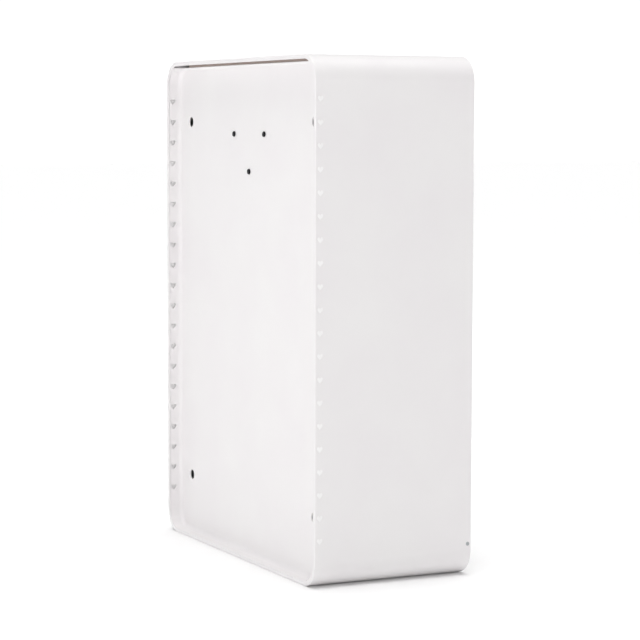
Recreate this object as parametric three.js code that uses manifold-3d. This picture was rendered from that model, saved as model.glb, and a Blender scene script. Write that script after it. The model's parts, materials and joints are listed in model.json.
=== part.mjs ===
// Wall battery unit: a white sheet-steel sleeve with a recessed rear panel and a front cover, holding two
// modules of eight battery cells, an inverter, breakers and control boards.
// Millimetres. X is the width, Y the depth with the wall side at +Y, Z is up from the base.
import * as THREE from "three";
import { mergeVertices } from "three/addons/utils/BufferGeometryUtils.js";
import Module from "manifold-3d";

const wasm = await Module();
wasm.setup();

// ---------------------------------------------------------------- driving dimensions

const WIDTH = 500;
const DEPTH = 232;
const HEIGHT = 690;
const CORNER = 34; // outside radius of the sleeve's four long edges
const SKIN = 2; // sleeve sheet
const SHEET = 1.5; // rear panel, front cover and frame sheet
const GAP = 0.3; // gap between pieces that touch

const FRONT = -DEPTH / 2;
const REAR = DEPTH / 2;
const MIDDLE = HEIGHT / 2;

const EDGE = 5.5; // folded rear edge of the sleeve, seen square on
const RECESS = 20.5; // the rear panel sits this far in from the rear edge
const PANEL_BEND = 8; // outside radius between the rear panel and its rims
const TOP_SLOT = 2; // slot between the rear panel's top edge and the folded edge
const PANEL_REAR = REAR - RECESS;
const PANEL_FRONT = PANEL_REAR - SHEET;

const HEART_ROWS = 20;
const HEART_PITCH = 30;
const HEART_SIZE = 8.3;
const HEART_INSET = 7.3; // heart centre to the rear edge

const WALL_HOLE = { across: 410, up: 517.5, radius: 7 }; // four wall fixings
const BRACKET_SCREWS = [
  ["rear_screw_left", -50, 587],
  ["rear_screw_right", 50, 587],
  ["rear_screw_lower", 0, 535.5],
];
const BUTTON_HEAD = { head: 3.8, height: 2.2, shank: 2, length: 12, socket: 1.45, depth: 1.3 };

const COVER_FACE = FRONT + 0.5; // front of the cover
const COVER_REAR = COVER_FACE + 11.9; // rear edge of the cover's rim
const COVER_SCREW = { y: FRONT + 4.7, z: 43, head: 2.75, cone: 1.65, shank: 1.5, length: 9.5 };
const GASKET = { width: 12, height: 3 };
const FRAME_WIDTH = 20;
const FRAME_FRONT = COVER_REAR + GASKET.height + 2 * GAP;
const FRAME_REAR = FRAME_FRONT + SHEET;
const TONGUE = { x: 140, width: 40, z: 670 };
const LUG = { low: 238, high: 245.9, tall: 14 }; // threaded block for a cover screw, as X range and height

const LENS = { z: 560, width: 120, height: 8 };
const BUTTON = { z: 520, radius: 8, cap: 7.6, foot: 9.2, proud: 0.4 }; // the cap stands proud of the cover

const CELL = { width: 50, depth: 160, height: 118, pitch: 52, terminal: 55 };
const CELLS = 8;
const END_CELL = ((CELLS - 1) / 2) * CELL.pitch; // where the last cell of a module stands
const MODULE_FLOORS = { lower: 66, upper: 212 };

const BREAKER_Z = 405;
const RAIL_FRONT = -9.8;
const PLATE_FRONT = -2;
const LEVER = { y: RAIL_FRONT - 56, tilt: 35 };
const INVERTER = { width: 236, low: 478, high: 652 };
const FAN = { size: 60, thick: 20, y: 60.5, low: 453 };

const GLAND_CUT = { width: 190, low: 10, high: 80 }; // cable cut-out in the base, as X width and Y range
const GLAND_LEVEL = 34; // underside of the gland plate's pan
const GLANDS = [
  ["ac_gland", -60, 9],
  ["solar_gland", 0, 9],
  ["data_gland", 60, 7],
];

// ---------------------------------------------------------------- solids

const X = new THREE.Vector3(1, 0, 0);
const Y = new THREE.Vector3(0, 1, 0);
const Z = new THREE.Vector3(0, 0, 1);

// A closed geometry as a solid that can be joined and cut.
function solid(geometry) {
  const bare = geometry.clone();
  bare.deleteAttribute("normal");
  bare.deleteAttribute("uv");
  const merged = mergeVertices(bare, 1e-4);
  const triVerts = new Uint32Array(merged.index.array);
  const vertProperties = merged.attributes.position.array;
  return new wasm.Manifold(new wasm.Mesh({ numProp: 3, vertProperties, triVerts }));
}

function join(solids) {
  return solids.reduce((all, next) => all.add(next));
}

function cut(body, tools) {
  return tools.reduce((rest, tool) => rest.subtract(tool), body);
}

function block([x0, x1], [y0, y1], [z0, z1]) {
  const box = new THREE.BoxGeometry(x1 - x0, y1 - y0, z1 - z0);
  return solid(box.translate((x0 + x1) / 2, (y0 + y1) / 2, (z0 + z1) / 2));
}

// The same block on both sides of the middle plane X = 0.
function pair([x0, x1], ys, zs) {
  return [block([x0, x1], ys, zs), block([-x1, -x0], ys, zs)];
}

// An outline pushed along an axis. Outlines are drawn as (Y, Z) for x, (X, Z) for y and (X, Y) for z.
// Three.js divides a circular arc into twice as many lines as steps says.
function prism(outline, axis, from, to, { steps = 3, bend = 0 } = {}) {
  const bevel = { bevelEnabled: bend > 0, bevelThickness: bend, bevelSize: bend, bevelOffset: -bend };
  const depth = to - from - 2 * bend;
  const settings = { depth, curveSegments: steps, bevelSegments: 2, ...bevel };
  const shape = new THREE.ExtrudeGeometry(outline, settings);
  shape.translate(0, 0, bend);
  const frames = {
    x: [Y, Z, X],
    y: [X, Z, Y.clone().negate()],
    z: [X, Y, Z],
  };
  shape.applyMatrix4(new THREE.Matrix4().makeBasis(...frames[axis]));
  const place = { x: [from, 0, 0], y: [0, to, 0], z: [0, 0, from] };
  return solid(shape.translate(...place[axis]));
}

// Turns a shape made round the Y axis so that it stands along another axis.
function along(axis, geometry) {
  if (axis === "x") geometry.rotateZ(-Math.PI / 2);
  if (axis === "-x") geometry.rotateZ(Math.PI / 2);
  if (axis === "z") geometry.rotateX(Math.PI / 2);
  return geometry;
}

// A round bar, or a cone where the far radius differs, from one level to another on its axis.
function rod(axis, radius, [from, to], [a, b] = [0, 0], { sides = 12, far = radius } = {}) {
  const bar = along(axis, new THREE.CylinderGeometry(far, radius, to - from, sides));
  const middle = (from + to) / 2;
  const place = { x: [middle, a, b], y: [a, middle, b], z: [a, b, middle] };
  return solid(bar.translate(...place[axis]));
}

// A profile of (radius, height) points turned round an axis through the origin.
function turned(axis, points, sides = 16) {
  const profile = points.map(([r, h]) => new THREE.Vector2(r, h));
  return solid(along(axis, new THREE.LatheGeometry(profile, sides)));
}

function polygon(points) {
  return new THREE.Shape(points.map(([a, b]) => new THREE.Vector2(a, b)));
}

function roundedRectangle([a0, a1], [b0, b1], radius) {
  const shape = new THREE.Shape();
  shape.absarc(a1 - radius, b1 - radius, radius, 0, Math.PI / 2);
  shape.absarc(a0 + radius, b1 - radius, radius, Math.PI / 2, Math.PI);
  shape.absarc(a0 + radius, b0 + radius, radius, Math.PI, 1.5 * Math.PI);
  shape.absarc(a1 - radius, b0 + radius, radius, 1.5 * Math.PI, 2 * Math.PI);
  shape.closePath();
  return shape;
}

// The cabinet's outline seen from the front, moved in by an inset all round.
function cabinet(inset) {
  const half = WIDTH / 2 - inset;
  return roundedRectangle([-half, half], [inset, HEIGHT - inset], CORNER - inset);
}

// A sheet-metal pan with a bent edge: its closed face at one Y, its open side at the other.
function pan(outline, closed, open, bend, sheet) {
  const margin = 20;
  const forward = open > closed ? 1 : -1;
  const ends = (from) => [Math.min(from, open + forward * margin), Math.max(from, open + forward * margin)];
  const outer = prism(outline(0), "y", ...ends(closed), { bend });
  const inner = prism(outline(sheet), "y", ...ends(closed + forward * sheet), { bend: bend - sheet });
  const beyond = [open, open + forward * 2 * margin].sort((a, b) => a - b);
  return cut(outer, [inner, block([-WIDTH, WIDTH], beyond, [-HEIGHT, 2 * HEIGHT])]);
}

// A cable of eight sides along a smooth line through the points.
function cable(points, radius, steps) {
  const path = new THREE.CatmullRomCurve3(points.map((p) => new THREE.Vector3(...p)), false, "centripetal");
  const section = new THREE.Shape();
  section.absarc(0, 0, radius, 0, 2 * Math.PI);
  const options = { steps, curveSegments: 4, bevelEnabled: false, extrudePath: path };
  return solid(new THREE.ExtrudeGeometry(section, options));
}

// ---------------------------------------------------------------- materials and meshes

function finish(color, roughness, metalness = 0) {
  return new THREE.MeshStandardMaterial({ color, roughness, metalness });
}

const whitePowderCoat = finish(0xefecec, 0.55);
const zincSteel = finish(0xb6b9bc, 0.42, 0.9);
const blackOxideSteel = finish(0x26262a, 0.4, 0.8);
const aluminium = finish(0xc9ccd0, 0.35, 0.9);
const cellWrap = finish(0x2f5fa8, 0.4);
const blackPlastic = finish(0x232427, 0.6);
const greyPlastic = finish(0x8f9397, 0.6);
const whitePlastic = finish(0xe6e6e2, 0.5);
const orangePlastic = finish(0xd9691e, 0.5);
const greenBoard = finish(0x1f5a38, 0.55);
const foam = finish(0x2b2c2e, 0.95);
const frostedLens = finish(0xf4f7f7, 0.3);
const blackCable = finish(0x1c1c1f, 0.6);
const redCable = finish(0xa62a22, 0.6);
const brass = finish(0xc8a24e, 0.35, 0.9);
const ceramic = finish(0xe9e2d3, 0.5);

function piece(name, body, material) {
  const mesh = body.getMesh();
  const geometry = new THREE.BufferGeometry();
  const places = new Float32Array(mesh.vertProperties);
  geometry.setAttribute("position", new THREE.BufferAttribute(places, 3));
  geometry.setIndex(new THREE.BufferAttribute(new Uint32Array(mesh.triVerts), 1));
  const made = new THREE.Mesh(geometry, material);
  made.name = name;
  return made;
}

function group(...children) {
  return new THREE.Group().add(...children);
}

function at(object, x, y, z) {
  object.position.set(x, y, z);
  return object;
}

// ---------------------------------------------------------------- housing

// A heart with its notch up and its point down, as (Y, Z).
function heartOutline(y, z) {
  const corners = 10;
  const points = [];
  for (let i = 0; i < corners; i++) {
    const t = (2 * Math.PI * i) / corners;
    const side = 16 * Math.sin(t) ** 3;
    const up = 13 * Math.cos(t) - 5 * Math.cos(2 * t) - 2 * Math.cos(3 * t) - Math.cos(4 * t);
    points.push([y - (side / 32) * HEART_SIZE, z + ((up + 2.5) / 29) * HEART_SIZE]);
  }
  return polygon(points);
}

// One cutter for each vent, long enough to pass through the sleeve and the rim behind it.
function heartCutters() {
  const cutters = [];
  const lowest = MIDDLE + 2.5 - (HEART_PITCH * (HEART_ROWS - 1)) / 2;
  const reach = 10;
  for (let row = 0; row < HEART_ROWS; row++) {
    const heart = heartOutline(REAR - HEART_INSET, lowest + row * HEART_PITCH);
    cutters.push(prism(heart, "x", WIDTH / 2 - reach, WIDTH / 2 + 1));
    cutters.push(prism(heart, "x", -WIDTH / 2 - 1, -WIDTH / 2 + reach));
  }
  return cutters;
}

function outerSleeve(hearts) {
  const wrap = prism(cabinet(0), "y", FRONT, REAR);
  const inside = prism(cabinet(SKIN), "y", FRONT - 1, REAR - SKIN);
  const edge = prism(cabinet(EDGE), "y", REAR - SKIN - 1, REAR + 1);
  const halfCut = GLAND_CUT.width / 2;
  const base = roundedRectangle([-halfCut, halfCut], [GLAND_CUT.low, GLAND_CUT.high], 8);
  const { y, z, head, cone, shank } = COVER_SCREW;
  const screwHoles = [-1, 1].flatMap((side) => {
    const [tip, mouth] = [side * (WIDTH / 2 - cone - 0.4), side * (WIDTH / 2 + 0.2)];
    const sink = { far: side > 0 ? head + GAP : shank + GAP, sides: 12 };
    const start = side > 0 ? shank + GAP : head + GAP;
    const through = [side * (WIDTH / 2 - 5), side * (WIDTH / 2)].sort((a, b) => a - b);
    return [
      rod("x", start, [tip, mouth].sort((a, b) => a - b), [y, z], sink),
      rod("x", shank + GAP, through, [y, z], { sides: 10 }),
    ];
  });
  return cut(wrap, [inside, edge, prism(base, "z", -1, SKIN + 1, { steps: 2 }), ...screwHoles, ...hearts]);
}

function rearPanel(hearts) {
  const inset = EDGE - SHEET;
  const tray = pan((more) => cabinet(inset + more), PANEL_FRONT, REAR - SKIN - GAP, PANEL_BEND, SHEET);
  const top = HEIGHT - EDGE - TOP_SLOT;
  const above = block([-WIDTH, WIDTH], [0, DEPTH], [top, HEIGHT + 1]);
  const through = [PANEL_FRONT - 1, PANEL_REAR + 1];
  const { across, up, radius } = WALL_HOLE;
  const wallHoles = [-1, 1].flatMap((side) =>
    [-1, 1].map((level) => {
      const place = [(side * across) / 2, MIDDLE + (level * up) / 2];
      return rod("y", radius, through, place, { sides: 24 });
    }),
  );
  const screwHoles = BRACKET_SCREWS.map(([, x, z]) => rod("y", BUTTON_HEAD.shank + GAP, through, [x, z]));
  return cut(tray, [above, ...wallHoles, ...screwHoles, ...hearts]);
}

// Button-head socket screw along +Y: the underside of its head is at the origin.
function buttonHeadScrew() {
  const { head, height, shank, length, socket, depth } = BUTTON_HEAD;
  const points = [
    [0, -length],
    [shank - 0.4, -length],
    [shank, 0.4 - length],
    [shank, 0],
    [head, 0],
    [head * 0.96, height * 0.4],
    [head * 0.72, height * 0.8],
    [head * 0.4, height],
    [0, height],
  ];
  const driver = rod("y", socket, [height - depth, height + 1], [0, 0], { sides: 6 });
  return turned("y", points, 12).subtract(driver);
}

// Countersunk screw along +X: the face of its head is at the origin.
function countersunkScrew() {
  const { head, cone, shank, length } = COVER_SCREW;
  const points = [
    [0, -length],
    [shank, -length],
    [shank, -cone],
    [head, 0],
    [0, 0],
  ];
  const driver = rod("x", 1.1, [-1, 1], [0, 0], { sides: 6 });
  return turned("x", points, 12).subtract(driver);
}

function frontFrame() {
  const ring = prism(cabinet(SKIN + GAP), "y", FRAME_FRONT, FRAME_REAR);
  const opening = prism(cabinet(SKIN + GAP + FRAME_WIDTH), "y", FRAME_FRONT - 1, FRAME_REAR + 1);
  const { x, width, z } = TONGUE;
  const inner = HEIGHT - SKIN - GAP - FRAME_WIDTH;
  const half = width / 2 + 3;
  const notches = pair([x - half, x + half], [FRAME_FRONT - 1, FRAME_REAR + 1], [inner - 1, z + 4]);
  const { low, high, tall } = LUG;
  const { y, z: level, shank } = COVER_SCREW;
  const lugDepth = [COVER_FACE + SHEET + 0.5, FRAME_FRONT + 0.5];
  const lugs = pair([low, high], lugDepth, [level - tall / 2, level + tall / 2]);
  const threads = rod("x", shank + GAP, [-WIDTH, WIDTH], [y, level], { sides: 10 });
  return cut(join([cut(ring, [opening, ...notches]), ...lugs]), [threads]);
}

function coverGasket() {
  const [front, rear] = [COVER_REAR + GAP, FRAME_FRONT - GAP];
  const ring = prism(cabinet(SKIN + GAP), "y", front, rear);
  const opening = prism(cabinet(SKIN + GAP + GASKET.width), "y", front - 1, rear + 1);
  const half = LUG.tall / 2 + 0.5;
  const levels = [COVER_SCREW.z - half, COVER_SCREW.z + half];
  const aroundLugs = pair([LUG.low - 0.5, LUG.high + GAP], [front - 1, rear + 1], levels);
  return cut(ring, [opening, ...aroundLugs]);
}

function frontCover() {
  const shell = pan((more) => cabinet(SKIN + GAP + more), COVER_FACE, COVER_REAR, 2, SHEET);
  const inside = COVER_FACE + SHEET;
  const { x, width, z } = TONGUE;
  const tongues = pair([x - width / 2, x + width / 2], [inside - 0.5, FRAME_REAR + 6], [z, z + SHEET]);
  const half = COVER_SCREW.shank + 2 * GAP;
  const levels = [COVER_SCREW.z - half, COVER_SCREW.z + half];
  const slots = pair([LUG.low, WIDTH], [COVER_SCREW.y - half, COVER_REAR + 1], levels);
  const window = roundedRectangle(
    [-LENS.width / 2, LENS.width / 2],
    [LENS.z - LENS.height / 2, LENS.z + LENS.height / 2],
    LENS.height / 2 - 0.1,
  );
  const openings = [
    prism(window, "y", COVER_FACE - 1, inside + 1),
    rod("y", BUTTON.radius, [COVER_FACE - 1, inside + 1], [0, BUTTON.z], { sides: 24 }),
  ];
  return cut(join([shell, ...tongues]), [...slots, ...openings]);
}

// ---------------------------------------------------------------- status light and button, on the cover

function statusLens() {
  const inside = COVER_FACE + SHEET + GAP;
  const bar = (grow, radius) =>
    roundedRectangle(
      [-LENS.width / 2 - grow, LENS.width / 2 + grow],
      [LENS.z - LENS.height / 2 - grow, LENS.z + LENS.height / 2 + grow],
      radius,
    );
  const window = prism(bar(-GAP, LENS.height / 2 - 0.4), "y", COVER_FACE - 0.2, inside + 0.5);
  const flange = prism(bar(3, 4), "y", inside, inside + 1.5);
  return window.add(flange);
}

function statusBoard() {
  const front = COVER_FACE + SHEET + GAP + 1.5 + GAP;
  const lamp = (x) => block([x - 2.5, x + 2.5], [front, front + 1.5], [-2.5, 2.5]);
  const lights = [-48, -24, 0, 24, 48].map(lamp);
  const board = block([-64, 64], [front + 1.4, front + 3], [-9, 9]);
  return join([board, ...lights]).translate([0, 0, LENS.z]);
}

function buttonHousing() {
  const front = COVER_FACE + SHEET + GAP;
  const shell = rod("y", BUTTON.radius + 4, [front, front + 9], [0, BUTTON.z], { sides: 24 });
  const well = rod("y", BUTTON.radius + 2, [front - 1, front + 7], [0, BUTTON.z], { sides: 24 });
  return shell.subtract(well);
}

// The cap with a wider foot that stops behind the cover, and a plunger for the switch.
function powerButton() {
  const inside = COVER_FACE + SHEET + GAP;
  const place = [0, BUTTON.z];
  const cap = rod("y", BUTTON.cap, [COVER_FACE - BUTTON.proud, inside + 1], place, { sides: 24 });
  const foot = rod("y", BUTTON.foot, [inside, inside + 2], place, { sides: 24 });
  const plunger = rod("y", 2.5, [inside + 1.5, inside + 5], place, { sides: 10 });
  return join([cap, foot, plunger]);
}

// ---------------------------------------------------------------- battery modules, each on its own floor

// One prismatic cell in its blue wrap, its foot at the origin. The thicker post is the positive one.
function batteryCell() {
  const { width, depth, height, terminal } = CELL;
  const outline = roundedRectangle([-width / 2, width / 2], [-depth / 2, depth / 2], 4);
  const can = prism(outline, "z", 0, height, { steps: 1 });
  const positive = rod("z", 8, [height - 1, height + 4], [0, -terminal], { sides: 8 });
  const negative = rod("z", 6.5, [height - 1, height + 4], [0, terminal], { sides: 8 });
  return join([can, positive, negative]);
}

const MODULE_HALF = (CELL.pitch * CELLS) / 2;
const CELL_FOOT = 2 + GAP;
const CELL_TOP = CELL_FOOT + CELL.height;

// A bent tray: floor, end walls, low front lip and a back bolted to the rear panel between the wall fixings.
function moduleCradle() {
  const half = MODULE_HALF + 4;
  const front = -CELL.depth / 2 - 4;
  const back = PANEL_FRONT - GAP;
  const clear = WALL_HOLE.across / 2 - 20;
  return join([
    block([-half, half], [front, back], [0, 2]),
    block([-clear, clear], [back - 2, back], [0, 80]),
    block([-half, half], [front, front + 2], [0, 16]),
    ...pair([half - 2, half], [front, -front], [0, 100]),
  ]);
}

// Moulded tray over the terminals, with a window round each post for its busbar.
function busbarCarrier() {
  const [low, high] = [CELL_TOP + 0.7, CELL_TOP + 10];
  const half = MODULE_HALF - 1;
  const tray = block([-half, half], [-72, 72], [low, high]);
  const channels = [-1, 1].map((side) => {
    const middle = side * CELL.terminal;
    return block([-half + 2, half - 2], [middle - 14, middle + 14], [low + 2, high + 1]);
  });
  const middle = block([-half + 2, half - 2], [-36, 36], [low + 2, high + 1]);
  const leads = pair([END_CELL - 6, END_CELL + 6], [-73, -60], [low + 2, high + 1]);
  const windows = [];
  for (let i = 0; i < CELLS; i++) {
    const x = cellPlace(i);
    for (const side of [-1, 1]) {
      const y = side * CELL.terminal;
      windows.push(block([x - 10, x + 10], [y - 10, y + 10], [low - 1, high]));
    }
  }
  return cut(tray, [...channels, middle, ...leads, ...windows]);
}

function cellPlace(index) {
  return (index - (CELLS - 1) / 2) * CELL.pitch;
}

function batteryModule(level) {
  const made = group(
    piece(`${level}_cradle`, moduleCradle(), zincSteel),
    piece(`${level}_busbar_carrier`, busbarCarrier(), orangePlastic),
  );
  for (let i = 0; i < CELLS; i++) {
    const cell = piece(`${level}_cell_${i + 1}`, batteryCell(), cellWrap);
    cell.rotation.z = i % 2 ? Math.PI : 0; // every other cell is turned, so posts of both signs alternate
    made.add(at(cell, cellPlace(i), 0, CELL_FOOT));
  }
  return at(made, 0, 0, MODULE_FLOORS[level]);
}

// ---------------------------------------------------------------- inverter

function inverterBracket() {
  const back = PANEL_FRONT - GAP;
  const plate = block([-110, 110], [back - 2, back], [480, 650]);
  const sides = pair([108, 110], [60.3, back], [480, 650]);
  const clearance = BUTTON_HEAD.shank + GAP;
  const holes = BRACKET_SCREWS.map(([, x, z]) => rod("y", clearance, [back - 3, back + 1], [x, z]));
  return cut(join([plate, ...sides]), holes);
}

function inverterHeatsink() {
  const fins = 15;
  const pitch = 14;
  const base = block([-118, 118], [54, 60], [482, 648]);
  const made = [base];
  for (let i = 0; i < fins; i++) {
    const x = (i - (fins - 1) / 2) * pitch;
    const rear = Math.abs(x) < 60 ? 80 : 88; // the middle fins stop short of the bracket screws
    made.push(block([x - 1.25, x + 1.25], [59, rear], [486, 644]));
  }
  return join(made);
}

function inverterBoard() {
  const capacitors = [-70, -40, -10].map((x) => rod("y", 12, [14, 45], [x, 615], { sides: 16 }));
  return join([
    block([-105, 105], [44, 45.6], [490, 640]),
    block([20, 70], [12, 44.5], [580, 630]),
    block([-80, -30], [16, 44.5], [520, 570]),
    block([0, 80], [26, 44.5], [505, 530]),
    block([10, 30], [28, 44.5], [545, 565]),
    block([45, 65], [28, 44.5], [545, 565]),
    ...capacitors,
  ]);
}

function inverterCover() {
  const { width, low, high } = INVERTER;
  const outline = (more) => {
    const half = width / 2 - more;
    return roundedRectangle([-half, half], [low + more, high - more], 8 - more);
  };
  const box = pan(outline, 0, 54 - GAP, 4, SHEET);
  const louvres = [];
  for (let i = 0; i < 5; i++) louvres.push(...pair([30, 90], [-1, 3], [500 + i * 12, 504 + i * 12]));
  return cut(box, louvres);
}

function fanFrame() {
  const half = FAN.size / 2;
  const box = block([-half, half], [FAN.y - half, FAN.y + half], [FAN.low, FAN.low + FAN.thick]);
  const bore = rod("z", half - 2, [FAN.low - 1, FAN.low + FAN.thick + 1], [0, FAN.y], { sides: 24 });
  const hub = rod("z", 12, [FAN.low, FAN.low + 3], [0, FAN.y], { sides: 16 });
  const struts = [
    block([-half + 1, half - 1], [FAN.y - 1.5, FAN.y + 1.5], [FAN.low, FAN.low + 2]),
    block([-1.5, 1.5], [FAN.y - half + 1, FAN.y + half - 1], [FAN.low, FAN.low + 2]),
  ];
  const corner = half - 5;
  const screws = [-1, 1].flatMap((sx) =>
    [-1, 1].map((sy) => {
      const place = [sx * corner, FAN.y + sy * corner];
      return rod("z", 1.8, [FAN.low - 1, FAN.low + FAN.thick + 1], place, { sides: 6 });
    }),
  );
  return join([cut(box, [bore, ...screws]), hub, ...struts]);
}

// Hub and seven pitched blades, turning round its own Z axis.
function fanRotor() {
  const blades = 7;
  const hub = rod("z", 11, [0, 13], [0, 0], { sides: 21 });
  const made = [hub];
  for (let i = 0; i < blades; i++) {
    const blade = new THREE.BoxGeometry(17, 1.2, 13);
    blade.rotateX(THREE.MathUtils.degToRad(50)).translate(18, 0, 6.5);
    blade.rotateZ((2 * Math.PI * i) / blades);
    made.push(solid(blade));
  }
  return join(made);
}

// ---------------------------------------------------------------- switchgear

function electronicsPlate() {
  const back = PANEL_FRONT - GAP;
  return join([
    block([-222, 222], [PLATE_FRONT, 0], [356, 462]),
    ...pair([220, 222], [-1, back], [356, 462]),
    ...pair([206, 222], [back - 2, back], [356, 462]),
  ]);
}

function dinRail() {
  const [front, back] = [RAIL_FRONT, PLATE_FRONT - GAP];
  const outline = polygon([
    [back, -13.5],
    [back, 13.5],
    [front + 1, 13.5],
    [front + 1, 17.5],
    [front, 17.5],
    [front, 12.5],
    [back - 1, 12.5],
    [back - 1, -12.5],
    [front, -12.5],
    [front, -17.5],
    [front + 1, -17.5],
    [front + 1, -13.5],
  ].reverse());
  return prism(outline, "x", -150, 150).translate([0, 0, BREAKER_Z]);
}

// Two-pole breaker with a stepped front, a lever well and a terminal hole at each corner.
function breaker() {
  const back = RAIL_FRONT - GAP;
  const outline = polygon([
    [back, -45],
    [back, 45],
    [back - 44, 45],
    [back - 44, 23],
    [back - 62, 21],
    [back - 62, -21],
    [back - 44, -23],
    [back - 44, -45],
  ].reverse());
  const well = block([-10, 10], [back - 70, back - 44], [-17, 17]);
  const wires = [-9, 9].flatMap((x) =>
    [-1, 1].map((end) => rod("z", 4, [end * 40 - 6, end * 40 + 6], [x, back - 28], { sides: 10 })),
  );
  const screws = [-9, 9].flatMap((x) =>
    [-36, 36].map((z) => rod("y", 3, [back - 46, back - 38], [x, z], { sides: 10 })),
  );
  return cut(prism(outline, "x", -17.8, 17.8), [well, ...wires, ...screws]);
}

// The lever on its pivot at the origin, pointing forward and up.
function breakerLever() {
  const hub = rod("x", 7, [-9.4, 9.4], [0, 0], { sides: 20 });
  const paddle = block([-8, 8], [-19, -2], [-2.5, 2.5]);
  return hub.add(paddle).rotate([-LEVER.tilt, 0, 0]);
}

function terminalBlock() {
  const back = RAIL_FRONT - GAP;
  const body = block([-40, 40], [back - 44, back], [-26, 26]);
  const cuts = [];
  for (let i = 0; i < 6; i++) {
    const x = (i - 2.5) * 13;
    if (i < 5) cuts.push(block([x + 6.2, x + 6.8], [back - 45, back - 30], [-27, 27]));
    for (const z of [-17, 17]) cuts.push(rod("y", 2.6, [back - 45, back - 36], [x, z], { sides: 6 }));
  }
  return cut(body, cuts);
}

function fuseHolder() {
  const back = PLATE_FRONT - GAP;
  return join([
    block([-20, 20], [back - 22, back], [-44, 44]),
    ...[-34, 34].map((z) => rod("y", 4, [back - 40, back - 21], [0, z], { sides: 10 })),
  ]);
}

function mainFuse() {
  const front = PLATE_FRONT - GAP - 22 - GAP;
  const middle = front - 11;
  const barrel = rod("z", 10, [-19, 19], [0, middle], { sides: 20 });
  const blades = [-1, 1].map((end) => {
    const ends = [end * 18, end * 42].sort((a, b) => a - b);
    return block([-8, 8], [front - 3, front], ends);
  });
  const caps = [-1, 1].map((end) => {
    const ends = [end * 16, end * 21].sort((a, b) => a - b);
    return block([-9, 9], [middle - 9, front], ends);
  });
  const studs = [-34, 34].map((z) => rod("y", 4.4, [front - 5, front + 1], [0, z], { sides: 10 }));
  return cut(join([barrel, ...caps, ...blades]), studs);
}

function contactor() {
  const back = PLATE_FRONT - GAP;
  return join([
    block([-26, 26], [back - 4, back], [-40, 40]),
    block([-22, 22], [back - 58, back - 3], [-26, 34]),
    ...[-11, 11].map((x) => rod("y", 4, [back - 70, back - 57], [x, 16], { sides: 10 })),
    ...[-12, 12].map((x) => block([x - 3, x + 3], [back - 50, back - 48], [-34, -25])),
  ]);
}

// ---------------------------------------------------------------- control boards

// A board on four pillars in front of the rear panel, with its parts facing forward.
function pillarBoard([x0, x1], [z0, z1], parts) {
  const [front, back] = [60, PANEL_FRONT - GAP];
  const inset = 6;
  const pillars = [x0 + inset, x1 - inset].flatMap((x) =>
    [z0 + inset, z1 - inset].map((z) => rod("y", 3, [front + 1, back], [x, z], { sides: 6 })),
  );
  const sheet = block([x0, x1], [front, front + 1.6], [z0, z1]);
  const chips = parts.map(([xs, height, zs]) => block(xs, [front - height, front + 0.5], zs));
  return join([sheet, ...pillars, ...chips]);
}

function bmsBoard() {
  const parts = [
    [[140, 216], 14, [600, 626]],
    [[140, 216], 9, [560, 590]],
    [[150, 170], 3, [520, 540]],
    [[184, 214], 8, [492, 504]],
    [[140, 148], 10, [492, 550]],
  ];
  return pillarBoard([130, 226], [482, 640], parts);
}

function commsBoard() {
  const parts = [
    [[-216, -190], 4, [588, 612]],
    [[-176, -160], 14, [514, 530]],
    [[-152, -136], 14, [514, 530]],
    [[-180, -164], 3, [560, 576]],
    [[-216, -206], 10, [520, 560]],
  ];
  return pillarBoard([-226, -130], [502, 630], parts);
}

// ---------------------------------------------------------------- cable entry in the base

// An upturned pan over the cut-out in the base: its plate holds the glands above floor level.
function glandPlate() {
  const half = GLAND_CUT.width / 2;
  const [low, high] = [GLAND_CUT.low, GLAND_CUT.high];
  const floor = SKIN + GAP;
  const outline = (more, radius) => {
    return roundedRectangle([-half - more, half + more], [low - more, high + more], radius);
  };
  const walls = prism(outline(SHEET, 9.5), "z", floor, GLAND_LEVEL + SHEET, { steps: 2 });
  const inside = prism(outline(0, 8), "z", floor - 1, GLAND_LEVEL, { steps: 2 });
  const flange = prism(outline(9, 12), "z", floor, floor + SHEET, { steps: 2 });
  const holes = GLANDS.map(([, x, bore]) =>
    rod("z", bore + 2 + GAP, [GLAND_LEVEL - 1, GLAND_LEVEL + 3], [x, (low + high) / 2], { sides: 24 }),
  );
  return cut(join([walls, flange]), [inside, ...holes]);
}

// Cable gland at the plate's underside: dome nut and hexagon below, thread and locknut above, open through.
function cableGland(bore) {
  const thread = bore + 2;
  const body = join([
    rod("z", bore + 3.2, [-26, -16], [0, 0], { sides: 14, far: bore + 5 }),
    rod("z", bore + 5, [-16.5, -8], [0, 0], { sides: 14 }),
    rod("z", (bore + 5.5) * 1.1, [-8.5, -GAP], [0, 0], { sides: 6 }),
    rod("z", thread, [-1, SHEET + 10], [0, 0], { sides: 14 }),
    rod("z", (bore + 4.5) * 1.12, [SHEET + GAP, SHEET + 6], [0, 0], { sides: 6 }),
  ]);
  return body.subtract(rod("z", bore - 1, [-30, 20], [0, 0], { sides: 14 }));
}

function earthStud() {
  return join([
    rod("z", 4, [0, 26], [0, 0], { sides: 10 }),
    rod("z", 7.5, [0, 6.5], [0, 0], { sides: 6 }),
    rod("z", 9, [8, 9.6], [0, 0], { sides: 16 }),
    rod("z", 7.5, [11, 17.5], [0, 0], { sides: 6 }),
  ]);
}

// ---------------------------------------------------------------- cables held inside

const CABLE_RADIUS = 4;
const CABLE_FRONT = -91.5; // the cables rise in front of the modules
const LOWER_LEAD = MODULE_FLOORS.lower + CELL_TOP + 4 + GAP + CABLE_RADIUS;
const UPPER_LEAD = MODULE_FLOORS.upper + CELL_TOP + 4 + GAP + CABLE_RADIUS;

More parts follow.
